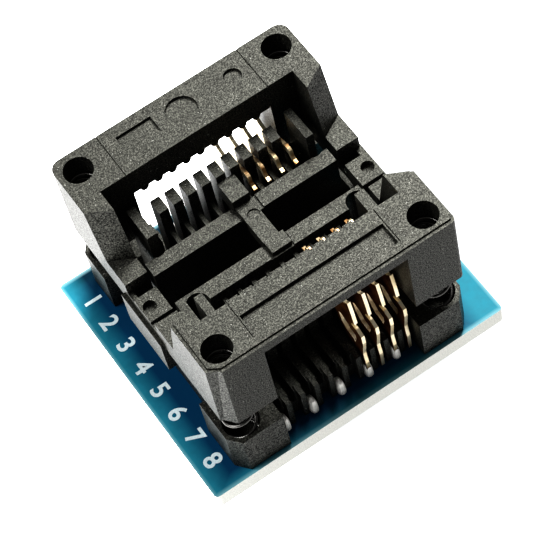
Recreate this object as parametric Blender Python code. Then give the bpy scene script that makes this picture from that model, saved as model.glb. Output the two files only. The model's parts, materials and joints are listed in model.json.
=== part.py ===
"""IC programming adapter: an open-top test socket on a small circuit board with two pin strips below.

Metres, +Z up. X runs along the socket's long bars, Y away from the viewer. The origin is the middle of the
object at the ends of the header pins. Heights in the constants are above the top of the board.
"""

import math

import bmesh
import bpy
from mathutils import Vector

MM = 0.001
CLEAR = 0.05

# Board and pin strips
BOARD_X = 26.6
BOARD_Y = 23.5
BOARD_T = 1.6
BOARD_CORNER = 0.35
STRIP_H = 2.5
STRIP_W = 2.5
PIN_OUT = 3.0
PIN_SIDE = 0.64
PIN_TIP = 0.6
PIN_HOLE_R = 0.5
PIN_PITCH = 2.54
PIN_ROW_Y = 3.81
TOP_Z = PIN_OUT + STRIP_H + BOARD_T

# Contact row
SLOT_PITCH = 1.27
SLOTS = 10
FITTED_SLOTS = (6, 7, 8, 9)
SOLDER_SLOTS = (0, 2, 4, 6, 8)
CONTACT_T = 0.30
SOLDER_R = 0.62
SOLDER_HALF_X = 0.37
SOLDER_H = 1.6
SOLDER_LEVELS = (0.0, 0.35, 0.65, 0.86)
SOLDER_FULL = 2.6
SOLDER_Y = 9.8

# Cover at rest
COVER_X = 10.6
COVER_Y = 11.4
COVER_TOP = 15.3
COVER_LEG_BOTTOM = 7.4
OPEN_X = 8.62
BAR_IN_Y = 6.95
LEG_IN_X = (SLOTS - 1) * SLOT_PITCH / 2 + 0.485
LIP_Z = 14.2
ARC_TOP = 12.05
TOOTH_BOTTOM = 11.6
TOOTH_W = 0.74
TOOTH_Y0 = 7.4
TOOTH_Y1 = 8.0
HOLE_X = 8.92
HOLE_Y = 9.64
HOLE_R = 1.2
POCKET_R = 1.5
POCKET_TOP = 13.3
LEDGE_Z = 10.15
LEDGE_END_Y = 2.1
BLOCK_Y = 1.2
BLOCK_TOP = 9.2
LOW_BAR_TOP = 8.0
SKIRT_BOTTOM = 4.6
SKIRT_TOP = 8.2
SKIRT_Y = 2.85
SKIRT_IN_X = 9.95
SKIRT_OUT_X = 10.93
SIDE_LINK_X = 10.15
SIDE_LINK_TOP = 8.9
PANEL_X = 6.2
PANEL_Y0 = 8.4
PANEL_Y1 = 10.45
PANEL_DEPTH = 0.35
MARK_DEPTH = 0.25
REBATE_W = 0.28
REBATE_H = 0.15
SEAM_X = 6.3
SEAM_W = 0.1
SEAM_DEPTH = 0.1
SLOPE_IN_Y = 4.97
SLOPE_OUT_Y = 6.10
SLOPE_RUN = 1.33
HOLLOW_TOP = 13.0
KEY_TOP_X = 9.62
KEY_TOP_Y = 10.7
KEY_LOW_X = 9.66
KEY_LOW_Y = 10.38

# Base
FLOOR_X = 9.7
FLOOR_Y = 9.35
FLOOR_T = 1.6
POST_W_OUT = 0.42
POST_Y_OUT = 10.08
POST_H_OUT = 3.2
CORNER_X = 10.66
CORNER_Y = 11.36
CORNER_IN_X = (SLOTS - 1) * SLOT_PITCH / 2 + 0.485
CORNER_H = 4.35
CORNER_BACK_NEAR = 6.55
CORNER_BACK_FAR = 7.3
CUP_R = 1.46
CUP_FLOOR = 1.9
RAIL_Y0 = 1.43
RAIL_Y1 = 2.8
RAIL_LEFT = -8.4
RAIL_RIGHT = 8.15
RAIL_TOP = 10.1
SEAT_LEFT = -0.62
SEAT_RIGHT = 1.5
SEAT_DEPTH = 0.15
COMB_Y0 = 4.75
COMB_Y1 = 6.15
COMB_W = 0.82
COMB_TOP = 11.85
STRIP_TOP = 9.2
STRIP_RIB_W = 0.36
END_RIBS = {
    (-1, -1): (0.985, 1.685),
    (1, -1): (1.185, 2.035),
    (-1, 1): (0.945, 1.725),
    (1, 1): (1.185, 1.845),
}
END_RIB_Y0_NEAR = 3.1
END_RIB_Y0_FAR = 3.35
END_RIB_Y1 = 6.45
END_RIB_TOP = 12.0
RELIEF_R = 0.93
RELIEF_Y_NEAR = 2.6
RELIEF_Y_FAR = 3.6
END_POST_OUT = 0.235
END_POST_TOP = 8.2
FLOOR_RIB_W = 0.72
FLOOR_RIB_TOP = 3.0
FLOOR_RIB_Y0 = 6.0
SIDE_WALL_X = 9.1
SIDE_WALL_Y = 4.6
SIDE_WALL_TOP = 4.3

# Springs
SPRING_R = 1.2
WIRE_R = 0.14
SPRING_TURNS = 7.5
SPRING_STEPS = 13
SPRING_PHASE = -40.0

PLASTIC = ("black_plastic", (0.045, 0.045, 0.047), 0.55, 0.0)
BOARD = ("board_blue", (0.02, 0.22, 0.42), 0.35, 0.0)
GILT = ("gilt_contact", (0.80, 0.66, 0.42), 0.28, 1.0)
STEEL = ("spring_steel", (0.62, 0.62, 0.64), 0.25, 1.0)
TIN = ("solder_tin", (0.82, 0.83, 0.84), 0.2, 1.0)


def make_material(owner, look):
    name, color, roughness, metallic = look
    material = bpy.data.materials.new(owner + "_" + name)
    material.use_nodes = True
    shader = material.node_tree.nodes["Principled BSDF"]
    shader.inputs["Base Color"].default_value = (*color, 1.0)
    shader.inputs["Roughness"].default_value = roughness
    shader.inputs["Metallic"].default_value = metallic
    return material


def height(z):
    """A height above the board's top, as a height in the object's frame."""
    return TOP_Z + z


def add_object(name, bm, origin, look=None):
    bmesh.ops.recalc_face_normals(bm, faces=bm.faces[:])
    mesh = bpy.data.meshes.new(name)
    bm.to_mesh(mesh)
    bm.free()
    obj = bpy.data.objects.new(name, mesh)
    obj.location = Vector(origin) * MM
    bpy.context.scene.collection.objects.link(obj)
    if look:
        mesh.materials.append(make_material(name, look))
    return obj


def prism_mesh(points, axis, low, high, origin=(0.0, 0.0, 0.0)):
    """A straight prism: its outline lies across the axis and runs from low to high."""
    place = {
        "x": lambda a, b, t: Vector((t, a, b)),
        "y": lambda a, b, t: Vector((a, t, b)),
        "z": lambda a, b, t: Vector((a, b, t)),
    }[axis]
    bm = bmesh.new()
    base = Vector(origin)
    rows = []
    for t in (low, high):
        rows.append([bm.verts.new((place(a, b, t) - base) * MM) for a, b in points])
    bm.faces.new(rows[0])
    bm.faces.new(rows[1])
    count = len(points)
    for i in range(count):
        j = (i + 1) % count
        bm.faces.new((rows[0][i], rows[0][j], rows[1][j], rows[1][i]))
    return bm


def rectangle(a0, a1, b0, b1):
    return [(a0, b0), (a1, b0), (a1, b1), (a0, b1)]


def circle(x, y, radius, count):
    turn = 2.0 * math.pi / count
    return [
        (x + radius * math.cos(turn * i), y + radius * math.sin(turn * i))
        for i in range(count)
    ]


def rounded(half_x, half_y, radii, steps):
    """A rectangle with its own radius on each corner, from the right far corner round to the left."""
    points = []
    signs = ((1, 1), (-1, 1), (-1, -1), (1, -1))
    for number, (sx, sy) in enumerate(signs):
        r = radii[number]
        start = math.radians(90 * number)
        for i in range(steps + 1):
            angle = start + math.radians(90) * i / steps
            x = sx * (half_x - r) + r * math.cos(angle)
            y = sy * (half_y - r) + r * math.sin(angle)
            points.append((x, y))
    return points


def hull_mesh(corners, origin=(0.0, 0.0, 0.0)):
    """The convex solid round some corners."""
    bm = bmesh.new()
    base = Vector(origin)
    for corner in corners:
        bm.verts.new((Vector(corner) - base) * MM)
    bmesh.ops.convex_hull(bm, input=bm.verts[:])
    loose = [v for v in bm.verts if not v.link_faces]
    bmesh.ops.delete(bm, geom=loose, context="VERTS")
    return bm


class Shaper:
    """A body made from one first solid, solids joined to it and solids cut from it."""

    def __init__(self, name, look, origin):
        self.name = name
        self.look = look
        self.origin = origin
        self.body = None
        self.count = 0
        self.added = bpy.data.collections.new(name + "_added")
        self.cut = bpy.data.collections.new(name + "_cut")
        self.late = bpy.data.collections.new(name + "_late")
        for collection in (self.added, self.cut, self.late):
            bpy.context.scene.collection.children.link(collection)

    def helper(self, bm, collection):
        self.count += 1
        obj = add_object(f"{self.name}_helper_{self.count}", bm, self.origin)
        bpy.context.scene.collection.objects.unlink(obj)
        collection.objects.link(obj)
        obj.hide_render = True
        obj.display_type = "WIRE"

    def start(self, bm):
        self.body = add_object(self.name, bm, self.origin, self.look)

    def add(self, bm):
        self.helper(bm, self.added)

    def take(self, bm):
        self.helper(bm, self.cut)

    def add_after_cuts(self, bm):
        self.helper(bm, self.late)

    def finish(self):
        for collection, operation in (
            (self.added, "UNION"),
            (self.cut, "DIFFERENCE"),
            (self.late, "UNION"),
        ):
            if not collection.objects:
                continue
            modifier = self.body.modifiers.new(collection.name, "BOOLEAN")
            modifier.operation = operation
            modifier.solver = "EXACT"
            modifier.operand_type = "COLLECTION"
            modifier.collection = collection
        return self.body

    def prism(self, points, axis, low, high):
        return prism_mesh(points, axis, low, high, self.origin)

    def box(self, x0, x1, y0, y1, z0, z1):
        return prism_mesh(rectangle(x0, x1, y0, y1), "z", z0, z1, self.origin)

    def hull(self, corners):
        return hull_mesh(corners, self.origin)


def slot_x(number):
    return (number - (SLOTS - 1) / 2) * SLOT_PITCH


def span(sign, inner, outer):
    """Two distances from the middle, as a low and a high coordinate on one side."""
    return (inner, outer) if sign > 0 else (-outer, -inner)


def pin_places():
    return [
        ((number - 1.5) * PIN_PITCH, sy * PIN_ROW_Y)
        for sy in (-1, 1)
        for number in range(4)
    ]


def build_board():
    board = Shaper("pcb", BOARD, (0.0, 0.0, PIN_OUT + STRIP_H))
    radii = [BOARD_CORNER] * 4
    outline = rounded(BOARD_X / 2, BOARD_Y / 2, radii, 3)
    board.start(board.prism(outline, "z", PIN_OUT + STRIP_H, TOP_Z))
    for x, y in pin_places():
        hole = circle(x, y, PIN_HOLE_R, 16)
        board.take(board.prism(hole, "z", PIN_OUT + STRIP_H - 1, TOP_Z + 1))
    board.finish()


def build_header():
    for sy, side in ((-1, "near"), (1, "far")):
        low = PIN_OUT
        high = PIN_OUT + STRIP_H - CLEAR
        strip = Shaper("header_strip_" + side, PLASTIC, (0.0, sy * PIN_ROW_Y, low))
        points = []
        bite = 0.35
        for edge in (-1, 1):
            for number in range(4):
                x0 = (number - 2) * PIN_PITCH * -edge
                x1 = (number - 1) * PIN_PITCH * -edge
                y = sy * PIN_ROW_Y + edge * STRIP_W / 2
                inset = y - edge * bite
                step = bite if x1 > x0 else -bite
                points.append((x0, inset))
                points.append((x0 + step, y))
                points.append((x1 - step, y))
            points.append((x1, inset))
        clean = []
        for point in points:
            if not clean or (Vector(point) - Vector(clean[-1])).length > 1e-6:
                clean.append(point)
        strip.start(strip.prism(clean, "z", low, high))
        for x, y in pin_places():
            if y * sy > 0:
                half = PIN_SIDE / 2 + CLEAR
                strip.take(strip.box(x - half, x + half, y - half, y + half, low - 1, high + 1))
        strip.finish()
    for number, (x, y) in enumerate(pin_places()):
        bm = bmesh.new()
        rings = []
        for z, half in (
            (0.0, PIN_SIDE / 4),
            (PIN_TIP, PIN_SIDE / 2),
            (TOP_Z - 0.1, PIN_SIDE / 2),
        ):
            corners = rectangle(-half, half, -half, half)
            rings.append([bm.verts.new(Vector((a, b, z)) * MM) for a, b in corners])
        bm.faces.new(rings[0])
        bm.faces.new(rings[-1])
        for low_ring, high_ring in zip(rings, rings[1:]):
            for i in range(4):
                j = (i + 1) % 4
                bm.faces.new((low_ring[i], low_ring[j], high_ring[j], high_ring[i]))
        side = "near" if y < 0 else "far"
        add_object(f"header_pin_{side}_{number % 4 + 1}", bm, (x, y, 0.0), GILT)


def corner_outline(sx, sy, back_y):
    """A base corner block seen from above, with its outer corner cut off."""
    return [
        (sx * CORNER_IN_X, sy * back_y),
        (sx * CORNER_X, sy * back_y),
        (sx * CORNER_X, sy * (CORNER_Y - 1.07)),
        (sx * (CORNER_X - 0.83), sy * CORNER_Y),
        (sx * CORNER_IN_X, sy * CORNER_Y),
    ]


def relief_outline(sx, sy):
    """The round relief in a rail's outer edge, in front of an end rib."""
    middle = sx * (slot_x(SLOTS - 1) + sum(END_RIBS[(sx, sy)]) / 2)
    close = (END_RIB_Y0_NEAR if sy < 0 else END_RIB_Y0_FAR) - 0.02
    centre = RELIEF_Y_NEAR if sy < 0 else RELIEF_Y_FAR
    points = [(middle + RELIEF_R, sy * close)]
    for i in range(13):
        angle = math.radians(15.0 * i)
        y = centre - RELIEF_R * math.sin(angle)
        if y < close - 0.05:
            points.append((middle + RELIEF_R * math.cos(angle), sy * y))
    points.append((middle - RELIEF_R, sy * close))
    return points


def build_base():
    bottom = height(CLEAR)
    base = Shaper("socket_base", PLASTIC, (0.0, 0.0, TOP_Z))
    base.start(base.box(-FLOOR_X, FLOOR_X, -FLOOR_Y, FLOOR_Y, bottom, height(FLOOR_T)))
    root = height(FLOOR_T - 0.5)
    for sy in (-1, 1):
        for sx in (-1, 1):
            outline = corner_outline(sx, sy, CORNER_BACK_NEAR if sy < 0 else CORNER_BACK_FAR)
            base.add(base.prism(outline, "z", bottom, height(CORNER_H)))
            last = slot_x(SLOTS - 1)
            rib_in, rib_out = END_RIBS[(sx, sy)]
            y0, y1 = span(sy, END_RIB_Y0_NEAR if sy < 0 else END_RIB_Y0_FAR, END_RIB_Y1)
            x0, x1 = span(sx, last + rib_in, last + rib_out)
            base.add(base.box(x0, x1, y0, y1, root, height(END_RIB_TOP)))
            x0, x1 = span(sx, last + END_POST_OUT, last + rib_in + 0.2)
            y0, y1 = span(sy, COMB_Y0 + 0.1, COMB_Y1)
            base.add(base.box(x0, x1, y0, y1, root, height(END_POST_TOP)))
            cup = circle(sx * HOLE_X, sy * HOLE_Y, CUP_R, 24)
            base.take(base.prism(cup, "z", height(CUP_FLOOR), height(CORNER_H + 1)))
        y0, y1 = span(sy, RAIL_Y0, RAIL_Y1)
        base.add(base.box(RAIL_LEFT, RAIL_RIGHT, y0, y1, root, height(RAIL_TOP)))
        for sx in (-1, 1):
            ring = relief_outline(sx, sy)
            base.take(base.prism(ring, "z", height(FLOOR_T + 0.4), height(RAIL_TOP + 1)))
        seat = height(RAIL_TOP - SEAT_DEPTH)
        base.take(base.box(SEAT_LEFT, SEAT_RIGHT, y0 - 0.2, y1 + 0.2, seat, height(RAIL_TOP + 1)))
        for number in range(SLOTS - 1):
            x = slot_x(number) + SLOT_PITCH / 2
            y0, y1 = span(sy, FLOOR_Y - 0.4, POST_Y_OUT)
            half = POST_W_OUT / 2
            base.add(base.box(x - half, x + half, y0, y1, bottom, height(POST_H_OUT)))
            y0, y1 = span(sy, FLOOR_RIB_Y0, FLOOR_Y - 0.01)
            half = FLOOR_RIB_W / 2
            base.add(base.box(x - half, x + half, y0, y1, root, height(FLOOR_RIB_TOP)))
            y0, y1 = span(sy, COMB_Y0, COMB_Y1)
            half = COMB_W / 2
            base.add(base.box(x - half, x + half, y0, y1, root, height(COMB_TOP)))
            y0, y1 = span(sy, RAIL_Y1 - 0.3, COMB_Y0 + 0.3)
            half = STRIP_RIB_W / 2
            base.add(base.box(x - half, x + half, y0, y1, root, height(STRIP_TOP)))
    for sx in (-1, 1):
        x0, x1 = span(sx, SIDE_WALL_X, FLOOR_X - 0.01)
        base.add(base.box(x0, x1, -SIDE_WALL_Y, SIDE_WALL_Y, root, height(SIDE_WALL_TOP)))
    base.finish()


def end_wall(cover, sx, sy):
    """One quarter of a short side of the cover: the steep slope down from the bar and the ledge at its foot."""
    low = height(COVER_LEG_BOTTOM)
    top = height(COVER_TOP)
    inner = sx * OPEN_X
    outer = sx * COVER_X
    corners = []
    for z, back in ((top, 0.0), (height(LEDGE_Z), SLOPE_RUN), (low, SLOPE_RUN)):
        corners.append((inner, sy * (SLOPE_IN_Y - back), z))
        corners.append((outer, sy * (SLOPE_OUT_Y - back), z))
    for x in (inner, outer):
        for z in (low, top):
            corners.append((x, sy * (BAR_IN_Y + 0.3), z))
    cover.add(cover.hull(corners))
    ledge = []
    for y in (LEDGE_END_Y, BAR_IN_Y + 0.2):
        ledge.append((inner, sy * y, height(LEDGE_Z)))
        ledge.append((outer, sy * y, height(LEDGE_Z)))
        ledge.append((inner, sy * y, low))
        ledge.append((outer, sy * y, low))
    cover.add(cover.hull(ledge))


def bar_outline(sy, right_radius, left_radius, steps=5):
    """A long bar seen from above, with a radius of its own on each outer corner."""
    points = [(COVER_X, sy * BAR_IN_Y)]
    for sx, radius in ((1, right_radius), (-1, left_radius)):
        for i in range(steps + 1):
            angle = math.radians(90.0 * (i if sx > 0 else steps - i) / steps)
            x = sx * (COVER_X - radius + radius * math.cos(angle))
            y = sy * (COVER_Y - radius + radius * math.sin(angle))
            points.append((x, y))
    points.append((-COVER_X, sy * BAR_IN_Y))
    return points


def add_teeth(cover, sy):
    """The rounded teeth between the open arcs under a long bar, one between each two slots."""
    drop = ARC_TOP - TOOTH_BOTTOM
    half = TOOTH_W / 2
    for number in range(SLOTS - 1):
        x = slot_x(number) + SLOT_PITCH / 2
        tip = [
            (x - half, height(ARC_TOP + 0.3)),
            (x - half, height(ARC_TOP)),
            (x - half * 0.8, height(ARC_TOP - drop * 0.6)),
            (x - half * 0.35, height(TOOTH_BOTTOM)),
            (x + half * 0.35, height(TOOTH_BOTTOM)),
            (x + half * 0.8, height(ARC_TOP - drop * 0.6)),
            (x + half, height(ARC_TOP)),
            (x + half, height(ARC_TOP + 0.3)),
        ]
        y0, y1 = span(sy, TOOTH_Y0 + 0.02, TOOTH_Y1 - 0.02)
        cover.add_after_cuts(cover.prism(tip, "y", y0, y1))


def cut_under_bar(cover, sy):
    """The hollow under a long bar between its two legs, where the contacts' levers stand."""
    low = height(COVER_LEG_BOTTOM)
    rise = (LIP_Z - ARC_TOP) / (COVER_Y - TOOTH_Y1)
    profile = [
        (sy * (BAR_IN_Y - 0.5), low - 1),
        (sy * (COVER_Y + 0.5), low - 1),
        (sy * (COVER_Y + 0.5), height(LIP_Z + 0.5 * rise)),
        (sy * TOOTH_Y1, height(ARC_TOP)),
        (sy * TOOTH_Y0, height(ARC_TOP)),
        (sy * TOOTH_Y0, height(HOLLOW_TOP)),
        (sy * (BAR_IN_Y - 0.5), height(HOLLOW_TOP)),
    ]
    cover.take(cover.prism(profile, "x", -LEG_IN_X, LEG_IN_X))


def build_cover():
    low = height(COVER_LEG_BOTTOM)
    top = height(COVER_TOP)
    cover = Shaper("cover", PLASTIC, (0.0, 0.0, top))
    cover.start(cover.prism(bar_outline(-1, 0.4, 0.2), "z", low, top))
    cover.add(cover.prism(bar_outline(1, 0.9, 0.9), "z", low, top))
    for sy in (-1, 1):
        for sx in (-1, 1):
            end_wall(cover, sx, sy)
            pocket = circle(sx * HOLE_X, sy * HOLE_Y, POCKET_R, 24)
            cover.take(cover.prism(pocket, "z", low - 1, height(POCKET_TOP)))
            hole = circle(sx * HOLE_X, sy * HOLE_Y, HOLE_R, 24)
            cover.take(cover.prism(hole, "z", low, top + 1))
        cut_under_bar(cover, sy)
        add_teeth(cover, sy)
    for sx in (-1, 1):
        x0, x1 = span(sx, OPEN_X, COVER_X)
        cover.add(cover.box(x0, x1, -BLOCK_Y, BLOCK_Y, low, height(BLOCK_TOP)))
        x0, x1 = span(sx, OPEN_X + 0.01, COVER_X - 0.01)
        cover.add(cover.box(x0, x1, -3.0, 3.0, low + 0.01, height(LOW_BAR_TOP)))
        x0, x1 = span(sx, SIDE_LINK_X, COVER_X - 0.01)
        cover.add(cover.box(x0, x1, -3.0, 3.0, low + 0.02, height(SIDE_LINK_TOP)))
        x0, x1 = span(sx, SKIRT_IN_X, SKIRT_OUT_X)
        cover.add(cover.box(x0, x1, -SKIRT_Y, SKIRT_Y, height(SKIRT_BOTTOM), height(SKIRT_TOP)))
        recess = circle(sx * 9.9, 0.0, 0.55, 16)
        cover.take(cover.prism(recess, "z", height(BLOCK_TOP - 0.6), height(BLOCK_TOP + 1)))
    corner_cut = []
    for z, x, y in ((low, KEY_LOW_X, KEY_LOW_Y), (top, KEY_TOP_X, KEY_TOP_Y)):
        corner_cut.append((-COVER_X, -y, z))
        corner_cut.append((-x, -COVER_Y, z))
        corner_cut.append((-COVER_X - 2 * (COVER_X - x), -COVER_Y - (COVER_Y - y), z))
    cover.take(cover.hull(stretched(corner_cut)))
    cover.take(cover.box(-PANEL_X, PANEL_X, -PANEL_Y1, -PANEL_Y0, top - PANEL_DEPTH, top + 1))
    mark_floor = top - MARK_DEPTH
    cover.take(cover.box(-5.2, -2.1, 8.8, 10.35, mark_floor, top + 1))
    cover.take(cover.prism(circle(0.1, 9.3, 1.3, 20), "z", mark_floor, top + 1))
    cover.take(cover.prism(circle(4.8, 9.45, 0.75, 16), "z", mark_floor, top + 1))
    add_seams(cover, top)
    cut_rebate(cover, top)
    cover.finish()


def add_seams(cover, top):
    """Thin lines across both long bars, where the middle insert of the mould ended."""
    floor = top - SEAM_DEPTH
    for sx in (-1, 1):
        x0, x1 = span(sx, SEAM_X, SEAM_X + SEAM_W)
        cover.take(cover.box(x0, x1, BAR_IN_Y - 1, COVER_Y + 1, floor, top + 1))
        cover.take(cover.box(x0, x1, -COVER_Y + 0.9, -BAR_IN_Y + 1, floor, top + 1))


def cut_rebate(cover, top):
    """The shallow step along the near bar's outer top edges."""
    floor = top - REBATE_H
    far = COVER_X + 2
    edge = COVER_X - REBATE_W
    cover.take(cover.box(-far, far, -COVER_Y - 2, -COVER_Y + REBATE_W, floor, top + 1))
    cover.take(cover.box(-far, -edge, -COVER_Y - 2, -SLOPE_IN_Y, floor - 0.001, top + 1))
    cover.take(cover.box(edge, far, -COVER_Y - 2, -SLOPE_IN_Y, floor - 0.002, top + 1))
    a = Vector((-COVER_X, -KEY_TOP_Y))
    b = Vector((-KEY_TOP_X, -COVER_Y))
    along = (b - a).normalized()
    inward = Vector((-along.y, along.x)) * REBATE_W
    first = a + inward - along * 1.2
    second = b + inward + along * 1.2
    corner = [tuple(first), tuple(second), (-far, -COVER_Y - 2)]
    cover.take(cover.prism(corner, "z", floor - 0.003, top + 1))


def stretched(corners):
    """Two outlines, each point drawn out along its own line by half past both ends."""
    half = len(corners) // 2
    points = []
    for a, b in zip(corners[:half], corners[half:]):
        lower = Vector(a)
        upper = Vector(b)
        points.append(lower + (lower - upper) * 0.5)
        points.append(upper + (upper - lower) * 0.5)
    return points


def contact_outline(sy):
    """The flat contact seen along the row: solder tail, spring beam, lever and finger."""
    points = [
        (10.15, CLEAR),
        (10.2, 1.9),
        (10.1, 2.6),
        (10.05, 3.2),
        (10.4, 5.2),
        (10.35, 6.1),
        (9.7, 6.45),
        (9.15, 6.4),
        (9.2, 6.75),
        (9.65, 7.05),
        (9.45, 8.4),
        (9.2, 9.6),
        (8.7, 9.1),
        (8.0, 8.85),
        (7.2, 8.85),
        (6.2, 10.2),
        (5.16, 10.64),
        (4.6, 10.82),
        (4.15, 10.86),
        (3.94, 10.76),
        (3.84, 10.48),
        (3.78, 10.14),
        (3.62, 9.93),
        (3.25, 9.85),
        (3.25, 9.6),
        (3.7, 9.62),
        (4.02, 9.8),
        (4.2, 10.14),
        (4.6, 10.15),
        (5.8, 9.3),
        (6.5, 7.8),
        (6.75, 6.0),
        (7.0, 4.95),
        (7.35, 4.4),
        (7.8, 3.6),
        (7.9, 3.3),
        (8.5, 3.15),
        (9.1, 2.95),
        (9.5, 2.5),
        (9.65, 1.8),
        (9.6, CLEAR),
    ]
    return [(sy * y, height(z)) for y, z in points]


def build_contacts():
    for sy, side in ((-1, "near"), (1, "far")):
        for order, number in enumerate(FITTED_SLOTS):
            x = slot_x(number)
            half = CONTACT_T / 2
            origin = (x, sy * 9.9, TOP_Z)
            plate = Shaper(f"contact_{side}_{order + 1}", GILT, origin)
            plate.start(plate.prism(contact_outline(sy), "x", x - half, x + half))
            window = [
                (7.55, 4.9),
                (8.1, 4.2),
                (9.2, 3.9),
                (9.45, 4.6),
                (9.5, 5.5),
                (8.6, 5.75),
                (7.7, 6.2),
                (7.35, 6.0),
            ]
            ring = [(sy * y, height(z)) for y, z in window]
            plate.take(plate.prism(ring, "x", x - 1, x + 1))
            plate.finish()


def build_solder():
    for sy, side in ((-1, "near"), (1, "far")):
        for order, number in enumerate(SOLDER_SLOTS):
            x = slot_x(number)
            y = sy * SOLDER_Y
            bm = bmesh.new()
            rows = []
            for level in SOLDER_LEVELS:
                size = (1.0 - level**SOLDER_FULL) ** (1.0 / SOLDER_FULL)
                z = CLEAR + (SOLDER_H - CLEAR) * level
                row = []
                for a, b in circle(0.0, 0.0, 1.0, 12):
                    across = math.copysign(abs(a) ** (2.0 / SOLDER_FULL), a)
                    along = math.copysign(abs(b) ** (2.0 / SOLDER_FULL), b)
                    spot = (across * size * SOLDER_HALF_X, along * size * SOLDER_R, z)
                    row.append(bm.verts.new(Vector(spot) * MM))
                rows.append(row)
            top = bm.verts.new(Vector((0.0, 0.0, SOLDER_H)) * MM)
            bm.faces.new(rows[0])
            for low_ring, high_ring in zip(rows, rows[1:]):
                for i in range(12):
                    j = (i + 1) % 12
                    bm.faces.new((low_ring[i], low_ring[j], high_ring[j], high_ring[i]))
            for i in range(12):
                bm.faces.new((rows[-1][i], rows[-1][(i + 1) % 12], top))
            dome = Shaper(f"solder_{side}_{order + 1}", TIN, (x, y, TOP_Z))
            dome.start(bm)
            y0, y1 = span(sy, SOLDER_Y - 1, FLOOR_Y + CLEAR)
            dome.take(dome.box(x - 1, x + 1, y0, y1, TOP_Z - 1, height(3)))
            if number in FITTED_SLOTS:
                half = CONTACT_T / 2 + CLEAR
                y0, y1 = span(sy, 9.54, 10.26)
                dome.take(dome.box(x - half, x + half, y0, y1, TOP_Z - 1, height(3)))
            dome.body.data.shade_smooth()
            dome.body.data.set_sharp_from_angle(angle=math.radians(50))
            dome.finish()


def build_springs():
    low = CUP_FLOOR + CLEAR + WIRE_R
    high = POCKET_TOP - CLEAR - WIRE_R
    for sx, sy, name in (
        (-1, -1, "spring_front_left"),
        (1, -1, "spring_front_right"),
        (-1, 1, "spring_back_left"),
        (1, 1, "spring_back_right"),
    ):
        curve = bpy.data.curves.new(name, "CURVE")
        curve.dimensions = "3D"
        curve.bevel_depth = WIRE_R * MM
        curve.bevel_resolution = 1
        curve.use_fill_caps = True
        count = int(SPRING_TURNS * SPRING_STEPS)
        spline = curve.splines.new("POLY")
        spline.points.add(count)
        for i in range(count + 1):
            turn = i / SPRING_STEPS
            flat = 1.0
            free = SPRING_TURNS - 2 * flat
            rise = min(max(turn - flat, 0.0), free) / free
            lead = min(turn, flat) + max(turn - flat - free, 0.0)
            ends = 2.2 * WIRE_R * lead
            z = low + ends + (high - low - 2.2 * WIRE_R * 2 * flat) * rise
            angle = 2 * math.pi * turn + math.radians(SPRING_PHASE)
            x = SPRING_R * math.cos(angle)
            y = SPRING_R * math.sin(angle)
            spline.points[i].co = (x * MM, y * MM, (z - low) * MM, 1.0)
        obj = bpy.data.objects.new(name, curve)
        obj.location = Vector((sx * HOLE_X, sy * HOLE_Y, height(low))) * MM
        bpy.context.scene.collection.objects.link(obj)
        curve.materials.append(make_material(name, STEEL))


def build_locator():
    low = height(RAIL_TOP - SEAT_DEPTH + CLEAR)
    locator = Shaper("device_locator", PLASTIC, (0.3, 0.0, low))
    top = height(10.4)
    locator.start(locator.box(-0.42, 1.05, -1.5, 2.7, low, top))
    locator.add(locator.box(-0.36, 1.4, -2.6, -1.3, low, top))
    locator.add(locator.box(-0.5, 1.05, 2.5, COMB_Y0 - CLEAR, height(9.4), height(11.2)))
    locator.add(locator.box(-0.3, 0.95, -1.3, 1.3, height(8.6), low + 0.1))
    dimple = circle(0.42, 1.15, 0.5, 16)
    locator.take(locator.prism(dimple, "z", top - 0.15, top + 1))
    locator.take(locator.box(-1, 2, 2.0, RAIL_Y1 + CLEAR, height(9), low))
    locator.finish()


def build_all():
    for obj in list(bpy.data.objects):
        bpy.data.objects.remove(obj, do_unlink=True)
    build_board()
    build_header()
    build_base()
    build_cover()
    build_contacts()
    build_solder()
    build_springs()
    build_locator()


build_all()
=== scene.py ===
"""Finishes of an IC programming adapter: a black test socket on a blue board with two pin strips below.

Metres, +Z up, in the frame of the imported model. X runs along the socket's long bars.
"""

import json
import math

import bmesh
import bpy
from mathutils import Matrix, Vector


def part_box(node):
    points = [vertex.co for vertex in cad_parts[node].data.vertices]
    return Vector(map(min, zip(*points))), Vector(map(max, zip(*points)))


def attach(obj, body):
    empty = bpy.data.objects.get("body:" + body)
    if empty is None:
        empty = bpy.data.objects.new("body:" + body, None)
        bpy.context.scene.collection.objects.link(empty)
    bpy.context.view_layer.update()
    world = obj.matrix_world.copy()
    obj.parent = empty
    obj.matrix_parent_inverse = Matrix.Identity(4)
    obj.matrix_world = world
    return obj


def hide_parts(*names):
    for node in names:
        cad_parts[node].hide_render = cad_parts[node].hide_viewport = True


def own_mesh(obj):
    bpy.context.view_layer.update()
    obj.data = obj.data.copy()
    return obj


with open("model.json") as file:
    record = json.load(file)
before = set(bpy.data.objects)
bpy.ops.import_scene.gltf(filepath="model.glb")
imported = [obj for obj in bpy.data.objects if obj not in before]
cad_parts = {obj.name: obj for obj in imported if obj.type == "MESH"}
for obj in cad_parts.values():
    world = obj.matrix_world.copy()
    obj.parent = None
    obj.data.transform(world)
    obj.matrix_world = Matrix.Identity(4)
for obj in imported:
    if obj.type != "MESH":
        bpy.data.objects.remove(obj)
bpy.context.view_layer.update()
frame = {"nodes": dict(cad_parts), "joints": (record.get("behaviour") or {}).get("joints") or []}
BOARD_LOW, BOARD_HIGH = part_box("pcb")
MM = 0.001

bl_info = {
    "name": "IC programming adapter",
    "version": (1, 0, 0),
    "blender": (4, 5, 0),
    "location": "View3D > Sidebar > Adapter",
    "description": "Dresses a test socket on a small circuit board",
    "category": "Object",
}

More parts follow.
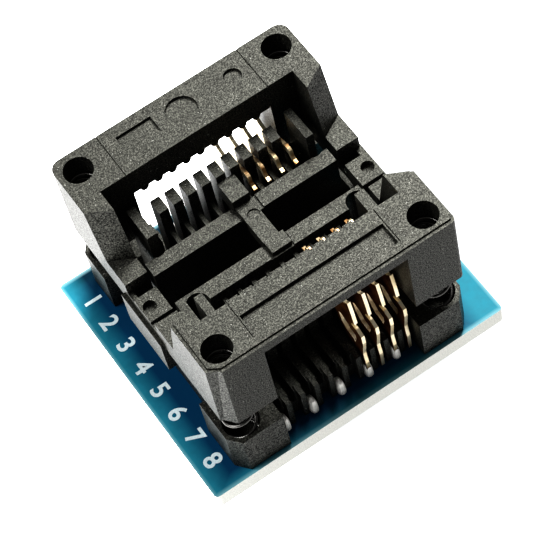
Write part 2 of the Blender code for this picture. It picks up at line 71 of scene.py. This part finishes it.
# Where the board's lacquer changes tone: painted shade beside the socket, along the front and, darker still,
# behind it, and a paler rim at the edges. Each pair gives the start and the end of a change; SHADE_MIDDLE is
# the middle of the shaded part
SHADE_MIDDLE = -0.9 * MM
SHADE_SIDES = (10.2 * MM, 12.5 * MM)
SHADE_FRONT = (BOARD_LOW.y + 0.05 * MM, BOARD_LOW.y + 1.25 * MM)
SHADE_BEHIND = (9.0 * MM, 11.0 * MM)
SIDE_RIM = (BOARD_HIGH.x - 0.3 * MM, BOARD_HIGH.x)
END_RIM = (BOARD_HIGH.y - 0.4 * MM, BOARD_HIGH.y - 0.05 * MM)

# Where the contacts' colour changes: from the near row, whose flanks carry brown painted shade, to the far
# one, and from finger to leg
NEAR_TO_FAR = (-1.0 * MM, 1.0 * MM)
FINGER_TO_LEG = (5.5 * MM, 8.5 * MM)

# Tones that belong to one finish only
DUST = (0.5, 0.5, 0.46)
LACQUER_RIM = (0.34, 0.58, 0.62)
# painted shade on the flanks of the near row of contacts
SHADED_FLANK = ((0.13, 0.04, 0.015), (0.32, 0.14, 0.05))
FINGER_EDGE = ((0.42, 0.22, 0.08), (0.80, 0.66, 0.42))
FLOOR_GREY = ((0.24, 0.24, 0.24), (0.26, 0.26, 0.26))
WHITE = (1.0, 1.0, 1.0)

# Rounded edges
CORNER_JOIN = 0.001 * MM
SHARP_ANGLE = math.radians(35.0)
STAMPED_EDGE = 0.04 * MM
FINE_EDGE_SHARE = 0.7

# Pieces in each row
CONTACTS = range(1, 5)
SOLDER_DOMES = range(1, 6)
HEADER_PINS = range(1, 5)

# Pin numbers, printed along the board's left edge
PIN_NUMBERS = range(1, 9)
MIDDLE_NUMBER = (PIN_NUMBERS[0] + PIN_NUMBERS[-1]) / 2
NUMBER_STEP = 2.54 * MM
NUMBER_COLUMN = BOARD_LOW.x + 1.45 * MM
FONT_PER_HEIGHT = 1.4
INK_HALF_THICK = 0.008 * MM
INK_SPREAD = 0.05 * MM
INK_LIFT = 0.014 * MM

# Corner springs
COIL_OUTER_RADIUS = 1.34 * MM
COIL_TURNS = 7.5
COIL_START = math.radians(-40.0)
CLOSED_RISE_IN_WIRES = 2.2
STEPS_PER_TURN = 28
WIRE_SIDES = 10

# Floor and room: the floor's glow grows from the front right to the back left
FLOOR_HALF = 2.0
GLOW = (0.68, 2.6)
GLOW_ACROSS = (-8.0 * MM, 9.0 * MM)
ROOM_LIGHT = 0.16

# Camera, fitted to the photograph: the PX values are pixels of its frame
CAMERA_AZIMUTH = math.radians(20.0)
CAMERA_ELEVATION = math.radians(57.78)
CAMERA_ROLL = math.radians(15.72)
CAMERA_DISTANCE = 191.64 * MM
CAMERA_TARGET = Vector((0.78 * MM, 2.81 * MM, BOARD_HIGH.z))
TARGET_PX = (265.64, 267.98)
FOCAL_PX = 2424.21
FRAME_PX = 533.0
SENSOR_MM = 36.0
NEAREST_SEEN = 5 * MM
FARTHEST_SEEN = 10.0


class AdapterColours(bpy.types.PropertyGroup):
    """Colours of the adapter's materials."""

    plastic: bpy.props.FloatVectorProperty(
        name="Plastic",
        description="Moulded black plastic of the base, the cover and the locator",
        subtype="COLOR",
        size=3,
        min=0.0,
        max=1.0,
        default=(0.008, 0.008, 0.0075),
    )
    plastic_speck: bpy.props.FloatVectorProperty(
        name="Plastic speck",
        description="Lighter filler specks in the black plastic",
        subtype="COLOR",
        size=3,
        min=0.0,
        max=1.0,
        default=(0.060, 0.060, 0.050),
    )
    mask: bpy.props.FloatVectorProperty(
        name="Solder mask",
        description="Blue lacquer on the board",
        subtype="COLOR",
        size=3,
        min=0.0,
        max=1.0,
        default=(0.036, 0.28, 0.365),
    )
    laminate: bpy.props.FloatVectorProperty(
        name="Laminate",
        description="Cut edge of the board",
        subtype="COLOR",
        size=3,
        min=0.0,
        max=1.0,
        default=(0.95, 0.95, 0.89),
    )
    ink: bpy.props.FloatVectorProperty(
        name="Ink",
        description="White print on the board",
        subtype="COLOR",
        size=3,
        min=0.0,
        max=1.0,
        default=(0.66, 0.77, 0.80),
    )
    gilt: bpy.props.FloatVectorProperty(
        name="Gilt",
        description="Plating of the contacts and pins",
        subtype="COLOR",
        size=3,
        min=0.0,
        max=1.0,
        default=(0.98, 0.88, 0.66),
    )
    steel: bpy.props.FloatVectorProperty(
        name="Spring wire",
        description="Wire of the corner springs",
        subtype="COLOR",
        size=3,
        min=0.0,
        max=1.0,
        default=(0.15, 0.147, 0.14),
    )
    solder: bpy.props.FloatVectorProperty(
        name="Solder",
        description="Solder domes on the board",
        subtype="COLOR",
        size=3,
        min=0.0,
        max=1.0,
        default=(0.98, 0.96, 0.90),
    )


class AdapterSizes(bpy.types.PropertyGroup):
    """Sizes of the fine work on the adapter."""

    edge: bpy.props.FloatProperty(
        name="Moulded edge",
        description="Width of the cover's rounded edges; the base and the locator have finer ones",
        subtype="DISTANCE",
        unit="LENGTH",
        min=0.00001,
        max=0.0003,
        default=0.0001,
    )
    grain: bpy.props.FloatProperty(
        name="Grain",
        description="Size of one speck of the plastic's grain",
        subtype="DISTANCE",
        unit="LENGTH",
        min=0.00003,
        max=0.001,
        default=0.00012,
    )
    wire: bpy.props.FloatProperty(
        name="Spring wire",
        description="Radius of the corner springs' wire",
        subtype="DISTANCE",
        unit="LENGTH",
        min=0.00005,
        max=0.0003,
        default=0.00014,
    )
    digit: bpy.props.FloatProperty(
        name="Digits",
        description="Height of the pin numbers on the board",
        subtype="DISTANCE",
        unit="LENGTH",
        min=0.0005,
        max=0.003,
        default=0.0015,
    )


def colours():
    return bpy.context.scene.adapter_colours


def sizes():
    return bpy.context.scene.adapter_sizes


def darker(colour, factor):
    return tuple(factor * channel for channel in colour)


def tinted(colour, factors):
    """A colour with its own factor on each channel."""
    return tuple(channel * factor for channel, factor in zip(colour, factors))


class Recipe:
    """A material's node tree, built from the surface back."""

    def __init__(self, name, roughness, metallic=0.0):
        self.material = bpy.data.materials.new(name)
        self.material.use_nodes = True
        self.tree = self.material.node_tree
        self.shader = self.tree.nodes["Principled BSDF"]
        self.give("Roughness", roughness)
        self.give("Metallic", metallic)
        self.place = self.tree.nodes.new("ShaderNodeTexCoord").outputs["Object"]

    def feed(self, value, socket):
        """A socket takes another node's result, a plain number or a colour."""
        if isinstance(value, bpy.types.NodeSocket):
            self.tree.links.new(value, socket)
        elif socket.type == "RGBA":
            socket.default_value = (*value, 1.0)
        else:
            socket.default_value = value

    def give(self, name, value):
        """One of the shader's own sockets, by name, takes a value."""
        self.feed(value, self.shader.inputs[name])

    def colour(self, value):
        self.give("Base Color", value)

    def rough(self, value):
        self.give("Roughness", value)

    def gloss(self, source, even):
        """A varied gloss, with the even value that stays where the varied one is dropped."""
        self.give("Specular IOR Level", even)
        self.give("Specular IOR Level", source)

    def bump(self, source, depth, strength):
        """Fine relief, laid over the relief that is there already."""
        node = self.tree.nodes.new("ShaderNodeBump")
        self.feed(depth, node.inputs["Distance"])
        self.feed(strength, node.inputs["Strength"])
        self.feed(source, node.inputs["Height"])
        normal = self.shader.inputs["Normal"]
        if normal.is_linked:
            self.feed(normal.links[0].from_socket, node.inputs["Normal"])
        self.feed(node.outputs["Normal"], normal)

    def noise(self, size, detail=2.0, roughness=0.5):
        node = self.tree.nodes.new("ShaderNodeTexNoise")
        self.feed(1.0 / size, node.inputs["Scale"])
        self.feed(detail, node.inputs["Detail"])
        self.feed(roughness, node.inputs["Roughness"])
        self.feed(self.place, node.inputs["Vector"])
        return node.outputs["Fac"]

    def ramp(self, factor, low, high, start, end):
        """A colour that goes from low to high as the factor goes from start to end."""
        node = self.tree.nodes.new("ShaderNodeValToRGB")
        first, last = node.color_ramp.elements
        first.position = start
        last.position = end
        first.color = (*low, 1.0)
        last.color = (*high, 1.0)
        self.feed(factor, node.inputs["Fac"])
        return node.outputs["Color"]

    def spread(self, factor, low, high, start=0.3, end=0.7):
        """A number that goes from low to high as the factor goes from start to end."""
        node = self.tree.nodes.new("ShaderNodeMapRange")
        self.feed(start, node.inputs["From Min"])
        self.feed(end, node.inputs["From Max"])
        self.feed(low, node.inputs["To Min"])
        self.feed(high, node.inputs["To Max"])
        self.feed(factor, node.inputs["Value"])
        return node.outputs["Result"]

    def mix(self, factor, first, second):
        """The first colour where the factor is 0, the second where it is 1."""
        node = self.tree.nodes.new("ShaderNodeMix")
        node.data_type = "RGBA"
        sockets = [s for s in node.inputs if s.type == "RGBA"]
        self.feed(first, sockets[0])
        self.feed(second, sockets[1])
        self.feed(factor, node.inputs["Factor"])
        return [s for s in node.outputs if s.type == "RGBA"][0]

    def work_out(self, operation, *values):
        node = self.tree.nodes.new("ShaderNodeMath")
        node.operation = operation
        for value, socket in zip(values, node.inputs):
            self.feed(value, socket)
        return node.outputs[0]

    def one_axis(self, vector, axis):
        node = self.tree.nodes.new("ShaderNodeSeparateXYZ")
        self.feed(vector, node.inputs[0])
        return node.outputs[axis]

    def along(self, axis):
        """How far along an axis a point of the object lies."""
        return self.one_axis(self.place, axis)

    def away(self, axis, middle=0.0):
        """How far a point lies from a middle along an axis, the same on both sides."""
        return self.work_out("ABSOLUTE", self.work_out("SUBTRACT", self.along(axis), middle))

    def facing(self, axis):
        """1 on faces across an axis, 0 on faces along it."""
        normal = self.tree.nodes.new("ShaderNodeNewGeometry").outputs["Normal"]
        return self.spread(self.work_out("ABSOLUTE", self.one_axis(normal, axis)), 0.0, 1.0, 0.4, 0.6)


def once(name, build):
    """A material by name, built the first time it is asked for."""
    return bpy.data.materials.get(name) or build(name)


def moulded_plastic(name):
    """Black filled plastic: pale specks, dull patches, a little dust, and a gloss that follows the grain."""
    grain = sizes().grain
    recipe = Recipe(name, roughness=0.42)
    fine = recipe.noise(grain, detail=3.0, roughness=0.65)
    patch = recipe.noise(14 * grain)
    dust = recipe.noise(1.3 * grain, detail=1.0)
    speck = recipe.ramp(fine, colours().plastic, colours().plastic_speck, 0.45, 0.66)
    moulded = recipe.mix(recipe.spread(patch, 0.0, 0.45), speck, darker(colours().plastic, 0.75))
    recipe.colour(recipe.mix(recipe.spread(dust, 0.0, 0.6, 0.73, 0.78), moulded, DUST))
    recipe.rough(recipe.spread(fine, 0.50, 0.36))
    recipe.bump(patch, depth=0.02 * MM, strength=0.3)
    recipe.bump(fine, depth=0.04 * MM, strength=0.8)
    front = recipe.facing("Y")
    least = recipe.spread(front, 0.22, 0.02, 0.6, 0.95)
    most = recipe.spread(front, 0.66, 0.70, 0.6, 0.95)
    recipe.gloss(recipe.spread(fine, least, most, 0.36, 0.68), even=0.42)
    recipe.give("Specular Tint", (1.0, 1.0, 0.88))
    return recipe.material


def solder_mask(name):
    """Blue lacquer with painted shade, dark navy beside and behind the socket and along the front, pale at
    the rim, and with the laminate showing on the cut edges.
    """
    recipe = Recipe(name, roughness=0.3)
    weave = recipe.noise(0.6 * MM)
    fine = recipe.noise(0.12 * MM)
    pale = colours().mask
    # painted shade: dark navy lacquer beside the socket and along the front, where the socket casts shade
    painted_shade_blue = tinted(pale, (0.08, 0.14, 0.28))
    open_board = recipe.ramp(weave, darker(pale, 0.9), pale, 0.3, 0.7)
    # painted shade: darker still behind the socket
    behind = recipe.spread(recipe.along("Y"), 0.0, 1.0, *SHADE_BEHIND)
    shaded = recipe.mix(behind, painted_shade_blue, darker(painted_shade_blue, 0.2))
    sides = recipe.spread(recipe.away("X", SHADE_MIDDLE), 0.0, 1.0, *SHADE_SIDES)
    front = recipe.spread(recipe.along("Y"), 0.8, 0.06, *SHADE_FRONT)
    face = recipe.mix(recipe.work_out("MAXIMUM", sides, front), shaded, open_board)
    side_rim = recipe.spread(recipe.away("X"), 0.0, 0.6, *SIDE_RIM)
    end_rim = recipe.spread(recipe.away("Y"), 0.0, 0.6, *END_RIM)
    face = recipe.mix(recipe.work_out("MAXIMUM", side_rim, end_rim), face, LACQUER_RIM)
    laminate = colours().laminate
    fibre = recipe.ramp(fine, darker(laminate, 0.8), laminate, 0.3, 0.7)
    recipe.colour(recipe.mix(recipe.facing("Z"), fibre, face))
    recipe.rough(recipe.spread(weave, 0.30, 0.38))
    recipe.bump(weave, depth=0.01 * MM, strength=0.1)
    recipe.give("Specular IOR Level", 0.04)
    return recipe.material


def gilt_plating(name, browned=False):
    """Thin gilt plating. A browned piece has brown painted shade on the near row's flanks and is brownish
    along the fingers.
    """
    recipe = Recipe(name, roughness=0.34, metallic=0.8)
    tone = recipe.noise(1.2 * MM)
    fine = recipe.noise(0.1 * MM, detail=3.0, roughness=0.6)
    gilt = colours().gilt
    plated = recipe.ramp(tone, tinted(gilt, (0.95, 0.88, 0.76)), gilt, 0.35, 0.6)
    if browned:
        shaded_flank = recipe.ramp(tone, *SHADED_FLANK, 0.35, 0.65)
        finger = recipe.ramp(tone, *FINGER_EDGE, 0.35, 0.6)
        # painted shade: the near row's flanks turn brown, the far row's stay plated
        far_row = recipe.spread(recipe.along("Y"), 0.0, 1.0, *NEAR_TO_FAR)
        leg = recipe.spread(recipe.away("Y"), 0.0, 1.0, *FINGER_TO_LEG)
        edge = recipe.mix(leg, finger, plated)
        flank = recipe.mix(far_row, shaded_flank, plated)
        plated = recipe.mix(recipe.facing("X"), edge, flank)
    recipe.colour(plated)
    recipe.rough(recipe.spread(fine, 0.28, 0.42))
    recipe.bump(fine, depth=0.004 * MM, strength=0.4)
    return recipe.material


def contact_plating(name):
    return gilt_plating(name, browned=True)


def spring_wire(name):
    """Dark drawn steel."""
    recipe = Recipe(name, roughness=0.22, metallic=1.0)
    drawn = recipe.noise(0.3 * MM)
    steel = colours().steel
    recipe.colour(recipe.ramp(drawn, darker(steel, 0.7), steel, 0.3, 0.6))
    recipe.rough(recipe.spread(drawn, 0.24, 0.38))
    return recipe.material


def solder_tin(name):
    """Pale solder with a slightly uneven skin."""
    recipe = Recipe(name, roughness=0.4, metallic=0.12)
    skin = recipe.noise(0.5 * MM)
    tin = colours().solder
    recipe.colour(recipe.ramp(skin, darker(tin, 0.85), tin, 0.35, 0.6))
    recipe.rough(recipe.spread(skin, 0.3, 0.45))
    recipe.bump(skin, depth=0.03 * MM, strength=0.3)
    recipe.give("Specular IOR Level", 0.8)
    return recipe.material


def white_ink(name):
    """Thin screen print."""
    recipe = Recipe(name, roughness=0.5)
    fine = recipe.noise(0.15 * MM)
    ink = colours().ink
    recipe.colour(recipe.ramp(fine, darker(ink, 0.85), ink, 0.3, 0.6))
    recipe.bump(fine, depth=0.006 * MM, strength=0.4)
    return recipe.material


def glowing_floor(name):
    """A grey floor that glows like a lamp, so that it looks pale; it glows brighter behind and to the left.
    """
    recipe = Recipe(name, roughness=0.9)
    recipe.colour(recipe.ramp(recipe.noise(50 * MM), *FLOOR_GREY, 0.3, 0.7))
    recipe.give("Emission Color", WHITE)
    across = recipe.work_out("SUBTRACT", recipe.along("Y"), recipe.along("X"))
    recipe.give("Emission Strength", recipe.spread(across, *GLOW, *GLOW_ACROSS))
    return recipe.material


def paint(node, material):
    """A CAD node takes a material on each of its slots."""
    obj = frame["nodes"][node]
    if not obj.data.materials:
        obj.data.materials.append(material)
    for slot in obj.material_slots:
        slot.material = material
    return obj


def soften(obj, width):
    """The split corners of an imported mesh are joined, and its sharp edges rounded off."""
    weld = obj.modifiers.new("join_corners", "WELD")
    weld.merge_threshold = CORNER_JOIN
    bevel = obj.modifiers.new("moulded_edge", "BEVEL")
    bevel.width = width
    bevel.segments = 2
    bevel.limit_method = "ANGLE"
    bevel.angle_limit = SHARP_ANGLE
    bevel.use_clamp_overlap = True


def mesh_object(name, bm, material):
    mesh = bpy.data.meshes.new(name)
    bm.to_mesh(mesh)
    bm.free()
    mesh.materials.append(material)
    obj = bpy.data.objects.new(name, mesh)
    bpy.context.scene.collection.objects.link(obj)
    return obj


def print_digit(number, material):
    """A pin number that lies on the board and reads from the left."""
    text = bpy.data.curves.new(f"pin_number_{number}", "FONT")
    text.body = str(number)
    text.size = sizes().digit * FONT_PER_HEIGHT
    text.extrude = INK_HALF_THICK
    text.offset = INK_SPREAD
    text.align_x = "CENTER"
    text.align_y = "CENTER"
    text.resolution_u = 6
    text.materials.append(material)
    digit = bpy.data.objects.new(f"pin_number_{number}", text)
    y = (MIDDLE_NUMBER - number) * NUMBER_STEP
    digit.location = (NUMBER_COLUMN, y, BOARD_HIGH.z + INK_LIFT)
    digit.rotation_euler.z = math.radians(-90)
    bpy.context.scene.collection.objects.link(digit)
    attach(digit, "base")


class ADAPTER_OT_board(bpy.types.Operator):
    """Lacquers the board and prints the pin numbers on it"""

    bl_idname = "adapter.board"
    bl_label = "Board"

    def execute(self, context):
        paint("pcb", once("solder_mask_blue", solder_mask))
        ink = once("board_ink", white_ink)
        for number in PIN_NUMBERS:
            print_digit(number, ink)
        return {"FINISHED"}


class ADAPTER_OT_header(bpy.types.Operator):
    """Finishes the pin strips under the board"""

    bl_idname = "adapter.header"
    bl_label = "Pin strips"

    def execute(self, context):
        plastic = once("moulded_black", moulded_plastic)
        gilt = once("gilt_plating", gilt_plating)
        for side in ("near", "far"):
            soften(paint(f"header_strip_{side}", plastic), sizes().edge)
            for number in HEADER_PINS:
                soften(paint(f"header_pin_{side}_{number}", gilt), STAMPED_EDGE)
        return {"FINISHED"}


class ADAPTER_OT_base(bpy.types.Operator):
    """Gives the socket's base its moulded black plastic"""

    bl_idname = "adapter.base"
    bl_label = "Socket base"

    def execute(self, context):
        base = paint("socket_base", once("moulded_black", moulded_plastic))
        soften(base, sizes().edge * FINE_EDGE_SHARE)
        return {"FINISHED"}


class ADAPTER_OT_cover(bpy.types.Operator):
    """Gives the pressed cover its moulded black plastic"""

    bl_idname = "adapter.cover"
    bl_label = "Cover"

    def execute(self, context):
        cover = paint("cover", once("moulded_black", moulded_plastic))
        soften(cover, sizes().edge)
        return {"FINISHED"}


class ADAPTER_OT_locator(bpy.types.Operator):
    """Gives the chip locator its moulded black plastic"""

    bl_idname = "adapter.locator"
    bl_label = "Chip locator"

    def execute(self, context):
        locator = paint("device_locator", once("moulded_black", moulded_plastic))
        soften(locator, sizes().edge * FINE_EDGE_SHARE)
        return {"FINISHED"}


class ADAPTER_OT_contacts(bpy.types.Operator):
    """Plates the eight contacts"""

    bl_idname = "adapter.contacts"
    bl_label = "Contacts"

    def execute(self, context):
        gilt = once("contact_plating", contact_plating)
        for side in ("near", "far"):
            for number in CONTACTS:
                soften(paint(f"contact_{side}_{number}", gilt), STAMPED_EDGE)
        return {"FINISHED"}


class ADAPTER_OT_solder(bpy.types.Operator):
    """Finishes the solder domes along both sides of the socket"""

    bl_idname = "adapter.solder"
    bl_label = "Solder"

    def execute(self, context):
        tin = once("solder_tin", solder_tin)
        for side in ("near", "far"):
            for number in SOLDER_DOMES:
                dome = paint(f"solder_{side}_{number}", tin)
                for face in dome.data.polygons:
                    face.use_smooth = True
        return {"FINISHED"}


def coil_points(low, high, radius, wire):
    """The middle of a compression spring's wire, with one closed turn at each end."""
    closed = CLOSED_RISE_IN_WIRES * wire
    open_turns = COIL_TURNS - 2.0
    points = []
    for step in range(int(COIL_TURNS * STEPS_PER_TURN) + 1):
        turn = step / STEPS_PER_TURN
        share = min(max(turn - 1.0, 0.0), open_turns) / open_turns
        closed_turns = min(turn, 1.0) + max(turn - COIL_TURNS + 1.0, 0.0)
        z = low + closed * closed_turns + (high - low - 2 * closed) * share
        angle = 2 * math.pi * turn + COIL_START
        points.append(Vector((radius * math.cos(angle), radius * math.sin(angle), z)))
    return points


def wire_mesh(points, radius):
    """A smooth round wire along points that circle the Z axis, closed at both ends."""
    bm = bmesh.new()
    rings = []
    for i, point in enumerate(points):
        before = points[max(i - 1, 0)]
        after = points[min(i + 1, len(points) - 1)]
        along = (after - before).normalized()
        out = Vector((point.x, point.y, 0.0)).normalized()
        out = (out - along * out.dot(along)).normalized()
        across = along.cross(out)
        ring = []
        for side in range(WIRE_SIDES):
            angle = 2 * math.pi * side / WIRE_SIDES
            offset = out * math.cos(angle) * radius + across * math.sin(angle) * radius
            ring.append(bm.verts.new(point + offset))
        rings.append(ring)
    for first, second in zip(rings, rings[1:]):
        for side in range(WIRE_SIDES):
            other = (side + 1) % WIRE_SIDES
            bm.faces.new((first[side], first[other], second[other], second[side]))
    bm.faces.new(rings[0])
    bm.faces.new(rings[-1])
    bmesh.ops.recalc_face_normals(bm, faces=bm.faces[:])
    for face in bm.faces:
        face.smooth = len(face.verts) == 4
    return bm


def wind_spring(name, material):
    """A fine coil in the place of a coarse one."""
    low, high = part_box(name)
    middle = (low + high) / 2
    wire = sizes().wire
    points = coil_points(low.z + wire, high.z - wire, COIL_OUTER_RADIUS - wire, wire)
    bm = wire_mesh(points, wire)
    centre = Vector((round(middle.x, 5), round(middle.y, 5), 0.0))
    bmesh.ops.translate(bm, vec=centre, verts=bm.verts[:])
    coil = mesh_object(name + "_coil", bm, material)
    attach(coil, "base")
    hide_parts(name)
    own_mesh(coil)


class ADAPTER_OT_springs(bpy.types.Operator):
    """Winds the four corner springs"""

    bl_idname = "adapter.springs"
    bl_label = "Corner springs"

    def execute(self, context):
        steel = once("spring_wire", spring_wire)
        strokes = [j["range_m"][1] for j in frame["joints"] if j["name"] == "cover_press"]
        if not strokes:
            raise RuntimeError("the frame has no cover_press joint")
        for row in ("front", "back"):
            for side in ("left", "right"):
                wind_spring(f"spring_{row}_{side}", steel)
        return {"FINISHED"}


def softbox(name, place, aim, width, depth, power):
    """A soft rectangular lamp that hangs at a place and shines towards another."""
    light = bpy.data.lights.new(name, "AREA")
    light.shape = "RECTANGLE"
    light.size = width
    light.size_y = depth
    light.energy = power
    obj = bpy.data.objects.new(name, light)
    obj.location = place
    direction = Vector(aim) - Vector(place)
    obj.rotation_mode = "QUATERNION"
    obj.rotation_quaternion = direction.to_track_quat("-Z", "Y")
    bpy.context.scene.collection.objects.link(obj)


def lay_floor():
    bm = bmesh.new()
    bmesh.ops.create_grid(bm, x_segments=1, y_segments=1, size=FLOOR_HALF)
    floor = mesh_object("floor", bm, once("glowing_grey_floor", glowing_floor))


def light_room(scene):
    world = bpy.data.worlds.new("studio")
    world.use_nodes = True
    background = world.node_tree.nodes["Background"]
    background.inputs["Color"].default_value = (*WHITE, 1.0)
    background.inputs["Strength"].default_value = ROOM_LIGHT
    scene.world = world
    scene.view_settings.view_transform = "Standard"
    scene.view_settings.look = "High Contrast"
    softbox("overhead", place=(0.19, 0.17, 0.38), aim=(0, 0, 0.015), width=0.14, depth=0.26, power=2.9)
    softbox("left_fill", place=(-0.25, 0.1, 0.33), aim=(0, 0, 0.01), width=0.2, depth=0.2, power=1.25)


def camera_axes(azimuth, elevation, roll):
    """Right, up and forward of a camera left of the front that looks down and is rolled."""
    flat = math.cos(elevation)
    forward = Vector((math.sin(azimuth) * flat, math.cos(azimuth) * flat, -math.sin(elevation)))
    level = Vector((math.cos(azimuth), -math.sin(azimuth), 0.0))
    upward = level.cross(forward)
    right = level * math.cos(roll) - upward * math.sin(roll)
    top = level * math.sin(roll) + upward * math.cos(roll)
    return right, top, forward


def place_camera(scene):
    view = bpy.data.cameras.new("photo_view")
    view.sensor_width = SENSOR_MM
    view.lens = SENSOR_MM * FOCAL_PX / FRAME_PX
    view.shift_x = (FRAME_PX / 2 - TARGET_PX[0]) / FRAME_PX
    view.shift_y = (TARGET_PX[1] - FRAME_PX / 2) / FRAME_PX
    view.clip_start = NEAREST_SEEN
    view.clip_end = FARTHEST_SEEN
    camera = bpy.data.objects.new("photo_view", view)
    scene.collection.objects.link(camera)
    right, top, forward = camera_axes(CAMERA_AZIMUTH, CAMERA_ELEVATION, CAMERA_ROLL)
    turn = Matrix((right, top, -forward)).transposed().to_4x4()
    camera.matrix_world = Matrix.Translation(CAMERA_TARGET - forward * CAMERA_DISTANCE) @ turn
    scene.camera = camera


class ADAPTER_OT_stage(bpy.types.Operator):
    """Sets the glowing floor, the soft lights and the camera at the photograph's view"""

    bl_idname = "adapter.stage"
    bl_label = "Stage"

    def execute(self, context):
        lay_floor()
        light_room(context.scene)
        place_camera(context.scene)
        return {"FINISHED"}


STEPS = ("stage", "board", "header", "base", "cover", "locator", "contacts", "solder", "springs")


class ADAPTER_PT_panel(bpy.types.Panel):
    """Lists the adapter's steps, colours and sizes"""

    bl_label = "IC programming adapter"
    bl_idname = "ADAPTER_PT_panel"
    bl_space_type = "VIEW_3D"
    bl_region_type = "UI"
    bl_category = "Adapter"

    def draw(self, context):
        for step in STEPS:
            self.layout.operator(f"adapter.{step}")
        for group in (colours(), sizes()):
            for name in group.__annotations__:
                self.layout.prop(group, name)


CLASSES = (
    AdapterColours,
    AdapterSizes,
    ADAPTER_OT_stage,
    ADAPTER_OT_board,
    ADAPTER_OT_header,
    ADAPTER_OT_base,
    ADAPTER_OT_cover,
    ADAPTER_OT_locator,
    ADAPTER_OT_contacts,
    ADAPTER_OT_solder,
    ADAPTER_OT_springs,
    ADAPTER_PT_panel,
)


def register():
    for cls in CLASSES:
        bpy.utils.register_class(cls)
    bpy.types.Scene.adapter_colours = bpy.props.PointerProperty(type=AdapterColours)
    bpy.types.Scene.adapter_sizes = bpy.props.PointerProperty(type=AdapterSizes)


def unregister():
    del bpy.types.Scene.adapter_sizes
    del bpy.types.Scene.adapter_colours
    for cls in reversed(CLASSES):
        bpy.utils.unregister_class(cls)


def main():
    register()
    for step in STEPS:
        getattr(bpy.ops.adapter, step)()


if __name__ == "__main__":
    main()
